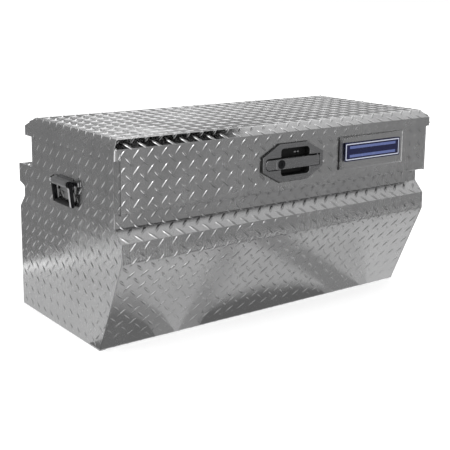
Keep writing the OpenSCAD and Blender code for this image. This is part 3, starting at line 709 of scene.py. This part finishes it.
for r in range(lower_rows):
    for c in range(cols - 1):
        if in_hole(r, c):
            continue
        top = (1 + c, 2 + c) if r == 0 else (start + (r - 1) * cols + c, start + (r - 1) * cols + c + 1)
        lid_faces.append((start + r * cols + c, start + r * cols + c + 1, top[1], top[0]))
lid_parts = Parts().add(*thick(lid_outer, lid_inner, lid_faces))

HEM_BARE = 2         # from the front flange's lower edge to where its tread starts
LID_GAP = 2.2        # bare plate inside the lid's side edges
lid_bent = Bent([(FRONT_Y, HEM_Z + HEM_BARE), (FRONT_Y, TOP - CHAMFER), (FRONT_Y + CHAMFER, TOP),
                 (LID_BACK - CHAMFER, TOP), (LID_BACK, TOP - CHAMFER), (LID_BACK, SIDE_Z + BACK_RISE)], 1)
LATCH_MID = (latch_low[2] + latch_high[2]) / 2
LATCH_X, _, LATCH_Z = (latch_high - latch_low) / 2
FLAT_X, FLAT_Z = 42.0, 17.0      # half the lengths of the octagon's flats


def octagon(inset=0.0):
    """The latch plate's outline, drawn in by inset."""
    x, z = LATCH_X - inset, LATCH_Z - inset
    fx, fz = FLAT_X - inset * 0.25, FLAT_Z - inset * 0.3
    o = [(-x, -fz), (-fx, -z), (fx, -z), (x, -fz), (x, fz), (fx, z), (-fx, z), (-x, fz)]
    return np.array(o) + (0, LATCH_MID)


def lid_inside(a, b):
    p = lid_bent.at(b, 0.0)
    y, z = p[..., 0], p[..., 1]
    limit = np.where(z < SIDE_Z, END_X - LUG - LID_GAP, LID_X - LID_GAP - np.maximum(0, z - (TOP - CHAMFER)))
    good = (np.abs(a) < limit) & (b > 3) & (b < lid_bent.length - 1)
    front = y < FRONT_Y + 3
    good &= ~(front & inside_polygon(a, z, octagon(), -1.0))
    x0, x1, z0, z1 = RECESS
    gap = 0.6
    return good & ~(front & (a > x0 - gap) & (a < x1 + gap) & (z > z0 - gap) & (z < z1 + gap))


LID_PHASE = (-416.0, 381.0 - HEM_Z - HEM_BARE)
lugs(lid_parts, strip_place(lid_bent), lid_inside, (-LID_X, 0), (LID_X, lid_bent.length), LID_PHASE)

FLAP_START = LID_X - CHAMFER - 2
flap_bent = Bent([(FLAP_START, TOP), (LID_X - CHAMFER, TOP), (LID_X, TOP - CHAMFER), (LID_X, SIDE_Z)], 1)
front_half = slice(len(lid_bent.points) // 2 + 1)
mark_y = FRONT_Y + CHAMFER + 10
# On the flat top, how far along lid_bent a point is, less its Y
top_start = float(np.interp(mark_y, lid_bent.points[front_half, 0], lid_bent.s[front_half])) - mark_y


def flap_lugs(side):
    """Lugs on a side flap, which carry on the top's pattern over its bends."""
    def run(a):
        return a * side - FLAP_START

    def place(a, b, rise):
        p = flap_bent.at(run(a), LUG - rise)
        return np.stack([p[..., 0] * side, b - top_start, p[..., 1]], -1)

    def inside(a, b):
        d = LID_X - flap_bent.at(run(a), 0.0)[..., 0]
        y = b - top_start
        on_flap = (run(a) > 1.2) & (run(a) < flap_bent.length - 1)
        return on_flap & (y > FRONT_Y + d + LID_GAP) & (y < LID_BACK - d - LID_GAP)

    ends = sorted((side * (LID_X - CHAMFER - 12), side * (FLAP_START + flap_bent.length)))
    lugs(lid_parts, place, inside, (ends[0], FRONT_Y + top_start), (ends[1], LID_BACK + top_start), LID_PHASE)


flap_lugs(-1)
flap_lugs(1)
lid_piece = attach(lid_parts.make("lid_tread", [tread], TREAD_SMOOTH), "lid")
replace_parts(lid_piece, "lid_skin")


# ---- Pieces that keep the CAD shape, with worked edges ----

def joined(node):
    """A CAD node's mesh with its faces joined up again."""
    bm = bmesh.new()
    bm.from_mesh(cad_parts[node].data)
    bmesh.ops.remove_doubles(bm, verts=bm.verts, dist=SAME)
    return bm


def merged(node):
    """A copy of a CAD node's mesh with its flat faces whole again."""
    bm = joined(node)
    bmesh.ops.dissolve_limit(bm, angle_limit=math.radians(0.6), verts=bm.verts, edges=bm.edges)
    bmesh.ops.recalc_face_normals(bm, faces=bm.faces)
    clean = bpy.data.meshes.new(node + "_worked")
    bm.to_mesh(clean)
    bm.free()
    for name in ("custom_normal", "sharp_edge", "sharp_face"):
        if name in clean.attributes:
            clean.attributes.remove(clean.attributes[name])
    clean.materials.clear()
    return clean


def worked(node, body, material, bevel, segments=2):
    mesh = merged(node)
    mesh.materials.append(material)
    mesh.polygons.foreach_set("material_index", [0] * len(mesh.polygons))
    obj = as_object(node + "_worked", mesh, 35, bevel, segments)
    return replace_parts(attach(obj, body), node)


EYE = 9              # from the pin down to where a bail's eye ends
for hand in ("left", "right"):
    worked(f"{hand}_handle_plate", "root", dark_zinc, 0.7)
    worked(f"{hand}_handle_pin", "root", black_steel, 0.8, 3)
    bail = worked(f"{hand}_bail", f"bail_{hand}", black_steel, 0.9, 3)
    bail.data.materials.append(painted_highlight_steel)
    pin = middle(f"{hand}_handle_pin")
    for p in bail.data.polygons:
        # The outer faces of the front arm and the rear eye take a lighter steel: a painted highlight on the
        # black bail
        gets_painted_highlight = (p.center.z / MM < pin[2] - EYE) == (p.center.y / MM < pin[1])
        if gets_painted_highlight and abs(p.normal.y) < 0.3 and p.normal.x * (1 if hand == "right" else -1) > 0.8:
            p.material_index = 1
    worked(f"{hand}_strut_bracket", "root", zinc, 0.5)
    worked(f"{hand}_lid_strut_bracket", "lid", zinc, 0.5)
    worked(f"{hand}_strut_tube", f"strut_tube_{hand}", strut_paint, 0.6)
    worked(f"{hand}_strut_rod", f"strut_rod_{hand}", chrome, 0.5)
    worked(f"{hand}_rim_rail", "root", sheet_metal, 0.4)
for node, body in (("front_rim_rail", "root"), ("rear_rim_rail", "root"),
                   ("front_lid_stiffener", "lid"), ("rear_lid_stiffener", "lid")):
    worked(node, body, sheet_metal, 0.4)
worked("weather_seal", "root", rubber, 3.0, 4)
worked("hinge_body_leaf", "root", hinge_metal, 0.3)
worked("hinge_lid_leaf", "lid", hinge_metal, 0.3)
worked("hinge_pin", "root", hinge_metal, 0.5)
worked("striker", "root", zinc, 0.5)
worked("striker_screws", "root", zinc, 0.5)
worked("latch_case", "lid", zinc, 0.4)
worked("claw_pin", "lid", zinc, 0.3)
worked("lever_pin", "lid", stainless, 0.3)
worked("latch_claw", "claw", zinc, 0.4)
worked("release_bar", "release", zinc, 0.4)
worked("lock_bezel", "lever", lock_metal, 0.3)
worked("lock_plug", "lock", lock_metal, 0.3)


def islands(node):
    """Lowest and highest corners, in millimetres, of each separate solid of a node."""
    bm = joined(node)
    seen, found = set(), []
    for v in bm.verts:
        if v in seen:
            continue
        group, queue = [], [v]
        seen.add(v)
        while queue:
            w = queue.pop()
            group.append(w.co)
            for e in w.link_edges:
                o = e.other_vert(w)
                if o not in seen:
                    seen.add(o)
                    queue.append(o)
        co = np.array(group) / MM
        found.append((co.min(0), co.max(0)))
    bm.free()
    return found


def rivets(node, axis, body, material, shank=2.3):
    """Domed rivets where a node's solids are."""
    parts = Parts()
    for low, high in islands(node):
        mid = (low + high) / 2
        long = high[axis] - low[axis]
        radius = max(high[i] - low[i] for i in range(3) if i != axis) / 2
        start = mid.copy()
        start[axis] = low[axis]
        way = np.zeros(3)
        way[axis] = 1
        dome = 1.5
        head = [(dome * (1 - math.cos(a)), radius * math.sin(a)) for a in np.radians([4, 25, 45, 62, 78, 90])]
        back = [(long - d, r) for d, r in reversed(head)]
        waist = []
        if long > 2 * dome + 0.5:
            waist = [(dome + 0.02, shank), (long - dome - 0.02, shank)]
        parts.add(*spin(start, way, head + waist + back, 24))
    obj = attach(parts.make(node + "_domed", [material], 40), body)
    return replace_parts(obj, node)


rivets("hinge_body_rivets", 1, "root", rivet_metal)
rivets("hinge_lid_rivets", 1, "lid", rivet_metal)
rivets("left_handle_rivets", 0, "root", black_steel)
rivets("right_handle_rivets", 0, "root", black_steel)
rivets("latch_rivets", 1, "lid", rivet_metal, 1.4)


def grip(node, body):
    """A moulded sleeve with rings, round the bail's lower bar."""
    low, high = box_mm(node)
    mid, half = (low + high) / 2, (high[1] - low[1]) / 2
    r = (high[2] - low[2]) / 2
    bore, edge, pitch = 4.6, 0.8, 5.2
    groove = ((0, 0), (0.7, 0.7), (2.0, 0.7), (2.7, 0))
    profile = [(-half, bore), (-half, r - edge), (-half + edge, r)]
    y = -half + 5
    while y < half - 6:
        profile += [(y + run, r - deep) for run, deep in groove]
        y += pitch
    profile += [(half - edge, r), (half, r - edge), (half, bore)]
    obj = Parts().add(*spin(mid, (0, 1, 0), profile, 28)).make(node + "_ringed", [grip_plastic], 30)
    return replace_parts(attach(obj, body), node)


grip("left_bail_grip", "bail_left")
grip("right_bail_grip", "bail_right")


def spring(node):
    """A coil of wire in the sleeve's place."""
    low, high = box_mm(node)
    mid = (low + high) / 2
    wire, radius = 0.45, (high[0] - low[0]) / 2 - 0.5
    turns, per = 4, 20
    count = turns * per
    rings = []
    for k in range(count + 1):
        a = k * 2 * math.pi / per
        y = low[1] + wire + (high[1] - low[1] - 2 * wire) * k / count
        out = np.array([math.cos(a), 0, math.sin(a)])
        centre = np.array([mid[0], y, mid[2]])
        rings.append([centre + out * (radius + wire * math.cos(t)) + np.array([0, wire * math.sin(t), 0])
                      for t in np.arange(8) * math.pi / 4])
    obj = Parts().add(*loft(rings)).make(node + "_coil", [zinc], 60)
    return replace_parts(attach(obj, "lid"), node)


spring("claw_spring")

# ---- Latch ----

PLATE_FACE = latch_low[1]
PAN_BACK = latch_high[1]
POCKET = (-38.0, 49.0, 361.0, 424.0)     # lowest and highest X, then Z
TAIL = 4.8           # half the height of the lever's tail
LEVER_Z = (lever_low[2] + lever_high[2]) / 2
LEVER_HALF = (lever_high[2] - lever_low[2]) / 2


def solid(rings):
    return Parts().add(*loft(rings)).make("cutter", [stainless], 35)


def rod(name, start, axis, length, radius, count):
    """A round rod to cut a hole with."""
    return Parts().add(*spin(start, axis, [(0, radius), (length, radius)], count)).make(name, [stainless])


def carve(obj, join, cut, bevel):
    """Joins solids to obj, cuts others away, and leaves it a plain mesh with worked edges."""
    for other, kind in [(o, "UNION") for o in join] + [(o, "DIFFERENCE") for o in cut]:
        mod = obj.modifiers.new("carve", "BOOLEAN")
        mod.operation, mod.object, mod.solver = kind, other, "EXACT"
    bpy.context.view_layer.update()
    mesh = bpy.data.meshes.new_from_object(obj.evaluated_get(bpy.context.evaluated_depsgraph_get()))
    obj.modifiers.clear()
    obj.data = mesh
    for other in (*join, *cut):
        bpy.data.objects.remove(other)
    angle = 32
    shade(mesh, angle)
    round_edges(obj, bevel, angle=angle)


def rounded_block(x0, x1, z0, z1, radius, *insets):
    """A solid through rounded outlines, each given by its Y and how far it is drawn in."""
    radii = [radius] * 4 if np.isscalar(radius) else radius
    return solid([
        at_y(rounded_outline(x0 + i, x1 - i, z0 + i, z1 - i, [max(r - i, 0.4) for r in radii], 8), y)
        for y, i in insets])


def latch_pan():
    """The pressed latch plate: a bevelled octagon with a channel for the lever and a finger pocket."""
    face = PLATE_FACE
    edge = ((0, face + 2.0), (0, face + 0.7), (0.9, face + 0.15), (1.8, face))
    plate = Parts().add(*loft([at_y(octagon(inset), y) for inset, y in edge]))
    obj = plate.make("latch_pan", [stainless, painted_shade_black], 30)
    x0, x1, z0, z1 = POCKET
    half = LEVER_HALF + 0.5
    low_z, high_z = LEVER_Z - half, LEVER_Z + half
    out = 1.8
    well = rounded_block(x0 - out, x1 + out, z0 - out, z1 + out, 11,
                         (face + 1, 0), (PAN_BACK - 2, 0), (PAN_BACK, 2))
    trough = rounded_block(-85, 84.8, LEVER_Z - 14.8, LEVER_Z + 17.6, 9, (face + 1, 0), (face + 9.6, 0))
    pocket = rounded_block(x0 - 1, x1 + 1, z0 - 1, z1 + 1, [9, 9, 12, 8],
                           (face - 1, -0.6), (face + 1, 1), (PAN_BACK - 2, 3.5))
    channel = rounded_block(-83, 81.2, low_z, high_z + 2.8, [12.4, 2, 2, 9],
                            (face - 1, -1.2), (face + 0.8, 0), (face + 7.6, 0))
    way = rounded_block(62, 83, LEVER_Z - 6.4, LEVER_Z + 6.4, 1, (face + 6, 0), (face + 12, 0))
    holes = []
    for low, high in islands("latch_rivets"):
        mid = (low + high) / 2
        holes.append(rod("hole", (mid[0], PAN_BACK - 4, mid[2]), (0, 1, 0), 8, 1.5, 20))
    carve(obj, [well, trough], [pocket, channel, way, *holes], 0.3)
    # The pocket, the channel and the plate's side walls take the near-black paint: painted shade in the
    # latch's hollows and on its edges
    for p in obj.data.polygons:
        p.material_index = 1 if p.center.y / MM > face + 0.9 or abs(p.normal.y) < 0.3 else 0
    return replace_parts(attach(obj, "lid"), "latch_dish")


latch_pan()


def latch_gasket():
    """The black ring under the latch plate, which shows a little past its edge."""
    outer, inner = octagon(-0.9), octagon(5.0)
    y0, y1 = PLATE_FACE + 2.03, FRONT_Y - 0.05
    rings = [at_y(outer, y1), at_y(outer, y0 + 0.8), at_y(octagon(-0.3), y0),
             at_y(inner, y0), at_y(inner, y1)]
    verts, faces = loft([*rings, rings[0]], close=False)
    n = len(outer)
    faces = [tuple(i % (5 * n) for i in f) for f in faces]
    obj = Parts().add(verts[:5 * n], faces).make("latch_ring", [rubber], 35, 0.3)
    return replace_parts(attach(obj, "lid"), "latch_gasket")


latch_gasket()


def lever():
    """The pull lever: a bar with rolled edges, a raised face, a round left end and a tail at its pivot."""
    left, right = lever_low[0], 79.8
    back, face = -243.0, lever_low[1]
    z0, z1 = lever_low[2], lever_high[2]
    bar = rounded_block(left, right, z0, z1, [12.3, 2.5, 2.5, 12.3],
                        (back, 0.8), (back - 0.8, 0), (face + 3.0, 0), (face + 1.9, 0.9), (face + 1.5, 2.2))
    bar.name = "latch_lever"
    raised = rounded_block(-51, right - 0.2, z0 + 0.3, z1 - 0.3, 2.6,
                           (face + 3.4, 0), (face + 1.0, 0), (face + 0.3, 0.5), (face, 1.5))
    tail = rounded_block(76.2, 79.6, LEVER_Z - TAIL, LEVER_Z + TAIL, 0.8, (-244.5, 0), (lever_high[1], 0))
    plug = middle("lock_plug")
    bore = rod("bore", (plug[0], face - 2, plug[2]), (0, 1, 0), 12, 8.15, 40)
    pin = middle("lever_pin")
    eye = rod("eye", (pin[0], pin[1], box_mm("lever_pin")[0][2] - 5), (0, 0, 1), 60, 2.1, 24)
    # The bar's back is round about its pin, so that it clears the channel as it turns
    x, y, radius, past = pin[0], pin[1], 3.8, 6
    knuckle = [(x + radius * math.cos(a), y + radius * math.sin(a)) for a in np.linspace(0, math.pi / 2, 7)]
    corner = np.array([*knuckle, (x, y + past), (x + past, y + past), (x + past, y)])
    heels = [solid([at_z(z)(corner) for z in ends])
             for ends in ((z0 - 1, LEVER_Z - TAIL), (LEVER_Z + TAIL, z1 + 1))]
    carve(bar, [raised, tail], [bore, eye, *heels], 0.25)
    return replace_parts(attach(bar, "lever"), "pull_lever")


lever()


def label():
    """A plain printed plate: a dark field, a light line round it and two bars."""
    x0, x1, z0, z1 = label_low[0], label_high[0], label_low[2], label_high[2]
    back, face = label_high[1], label_low[1] + 0.38
    parts = Parts()

    def slab(a0, a1, b0, b1, radius, y, rise, slot):
        whole = rounded_outline(a0, a1, b0, b1, radius)
        drawn_in = rounded_outline(a0 + 0.1, a1 - 0.1, b0 + 0.1, b1 - 0.1, max(radius - 0.1, 0.2))
        parts.add(*loft([at_y(whole, y), at_y(whole, y - rise + 0.03), at_y(drawn_in, y - rise)]), slot)

    slab(x0, x1, z0, z1, 3.0, back, back - face, 0)
    rim, edge = 2.8, 5.4
    slab(x0 + rim, x1 - rim, z0 + rim, z1 - rim, 2.2, face, 0.15, 1)
    slab(x0 + edge, x1 - edge, z0 + edge, z1 - edge, 1.2, face - 0.15, 0.12, 0)
    margin = 16
    for low, high in ((0.2, 0.34), (0.66, 0.8)):
        slab(x0 + margin, x1 - margin, z0 + low * (z1 - z0), z0 + high * (z1 - z0), 1.2, face - 0.26, 0.08, 2)
    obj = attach(parts.make("label_card", [label_navy, label_light, label_blue], 35), "lid")
    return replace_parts(obj, "label_plate")


label()

# A dark strip at the left end of the label's recess: a painted shadow along the recess's edge
shadow_strip_outline = rounded_outline(RECESS[0] + 0.6, RECESS[0] + 3.6, RECESS[2] + 1.6, RECESS[3] - 1.6, 1.6)
shadow_strip = solid([at_y(shadow_strip_outline, y) for y in (FRONT_Y + RECESS_DEEP, FRONT_Y + 1.3)])
shadow_strip.name = "recess_painted_shadow"
shadow_strip.data.materials[0] = painted_shade_black
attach(shadow_strip, "lid")

# ---- Studio: floor, light and cards ----

def stage_plane(name, corners, colour, glow=0.0):
    mesh = bpy.data.meshes.new(name)
    mesh.from_pydata(corners, [], [tuple(range(len(corners)))])
    g = Graph(name, colour, 0.0, 0.9)
    tint = g.mix(g.spread(g.noise(1.2, 2.0), 0.2, 0.8), tuple(c * 0.985 for c in colour), colour)
    if glow:
        lit = {"Emission Color": (1, 1, 1, 1), "Emission Strength": glow, "Specular IOR Level": 0.0}
        g.set(g.shader, **lit)
    mesh.materials.append(g.done(tint))
    obj = linked(name, mesh)
    return obj


def card(name, tone, *corners):
    """A card of a given brightness that only shows in reflections."""
    obj = stage_plane(name, corners, (0.0, 0.0, 0.0), max(tone, 0.001))
    obj.visible_camera = obj.visible_shadow = obj.visible_diffuse = False
    return obj


def wall_card(name, tone, x0, x1, y, z0, z1):
    return card(name, tone, (x0, y, z0), (x1, y, z0), (x1, y, z1), (x0, y, z1))


def side_card(name, tone, x, y0, y1, z0, z1):
    return card(name, tone, (x, y0, z0), (x, y1, z0), (x, y1, z1), (x, y0, z1))


def flat_card(name, tone, z, *corners):
    return card(name, tone, *[(x, y, z) for x, y in corners])


def box_card(name, tone, z, x0, x1, y0, y1):
    return flat_card(name, tone, z, (x0, y0), (x1, y0), (x1, y1), (x0, y1))


stage_plane(
    "studio_floor", [(-60, -60, 0), (60, -60, 0), (60, 60, 0), (-60, 60, 0)], (0.93, 0.93, 0.93), 0.42)
wall_card("front_card", 0.235, -0.33, 3.6, -0.75, 0.02, 1.08)
wall_card("left_card", 0.2, -3.4, -0.38, 0.5, 0.02, 1.3)
wall_card("back_card", 0.25, -3.0, 9.0, 3.0, 0.0, 1.7)
wall_card("high_back_card", 0.07, -3.0, 9.0, 3.0, 1.7, 2.9)
box_card("back_floor", 0.26, 0.002, -0.4, 9.0, 0.26, 3.0)
wall_card("front_left_card", 0.22, -3.6, -0.9, -0.75, 0.02, 1.9)
side_card("left_wall", 0.18, -1.5, -1.1, 1.4, 0.35, 2.4)
side_card("right_wall", 0.04, 2.2, -1.0, 0.9, 0.0, 1.2)
box_card("overhead_card", 0.5, 3.0, 0.25, 4.6, -2.4, -0.1)
box_card("chamfer_flag", 0.0, 0.62, -0.62, -0.04, -0.325, -0.17)
box_card("left_floor", 0.5, 0.002, -2.2, -0.44, -0.9, 0.5)
box_card("front_floor", 0.42, 0.004, -0.75, 1.3, -0.38, -0.1)
box_card("bright_strip", 0.5, 0.0045, -0.75, 1.3, -0.38, -0.3)
flat_card("right_floor", 0.53, 0.005, (0.34, -0.1), (0.47, -0.38), (1.3, -0.38), (1.3, -0.1))
box_card("far_floor", 0.06, 0.004, -0.75, 2.4, -0.75, -0.38)
flat_card("corner_fade", 0.26, 0.005,
          (-0.53, -0.1), (-0.53, -0.28), (-0.33, -0.27), (-0.275, -0.2), (-0.25, -0.1))
flat_card("corner_patch", 0.155, 0.006,
          (-0.5, -0.1), (-0.5, -0.25), (-0.37, -0.235), (-0.32, -0.18), (-0.305, -0.1))
flat_card("middle_fade", 0.25, 0.005, (-0.235, -0.1), (-0.215, -0.17), (-0.11, -0.203),
          (0.02, -0.212), (0.14, -0.2), (0.225, -0.165), (0.27, -0.1))
flat_card("middle_patch", 0.13, 0.006, (-0.21, -0.1), (-0.19, -0.165), (-0.1, -0.19),
          (0.02, -0.198), (0.13, -0.185), (0.2, -0.16), (0.24, -0.1))
flat_card("streak_patch", 0.24, 0.006,
          (0.05, -0.36), (0.17, -0.36), (0.34, -0.14), (0.245, -0.14), (0.15, -0.25))
flat_card("narrow_patch", 0.28, 0.006, (-0.02, -0.36), (0.03, -0.34), (-0.2, -0.14), (-0.26, -0.14))

world = bpy.data.worlds.new("studio")
scene.world = world
world.use_nodes = True
Graph.set(world.node_tree.nodes["Background"], Color=(1, 1, 1, 1), Strength=1.0)


def soft_light(name, place, target, size, power):
    light = bpy.data.lights.new(name, "AREA")
    light.shape, light.size, light.energy = "DISK", size, power
    obj = linked(name, light)
    obj.location = place
    obj.rotation_mode = "QUATERNION"
    obj.rotation_quaternion = (Vector(target) - Vector(place)).to_track_quat("-Z", "Y")


soft_light("key", (-0.8, -2.0, 2.3), (0, 0, 0.3), 0.2, 5.5)
soft_light("back", (1.2, 2.6, 2.4), (0, 0, 0.3), 1.2, 8)

# ---- Camera ----

camera = bpy.data.cameras.new("camera")
camera_obj = linked("camera", camera)
scene.camera = camera_obj
CAMERA_PLACE = (-1.3613, -1.8066, 0.7718)
SIDEWAYS, DOWN, ROLL = math.radians(-36.783), math.radians(11.061), math.radians(0.603)
forward = Vector((-math.sin(SIDEWAYS) * math.cos(DOWN), math.cos(SIDEWAYS) * math.cos(DOWN), -math.sin(DOWN)))
right = forward.cross(Vector((0, 0, 1))).normalized()
up = right.cross(forward)
cam_x = right * math.cos(ROLL) + up * math.sin(ROLL)
cam_y = up * math.cos(ROLL) - right * math.sin(ROLL)
turned = Matrix((cam_x, cam_y, -forward)).transposed().to_4x4()
camera_obj.matrix_world = Matrix.Translation(CAMERA_PLACE) @ turned
camera.sensor_width = 36.0
camera.lens = 72.86
camera.shift_y = -0.121
camera.clip_start, camera.clip_end = 0.05, 200
scene.view_settings.view_transform = "Standard"
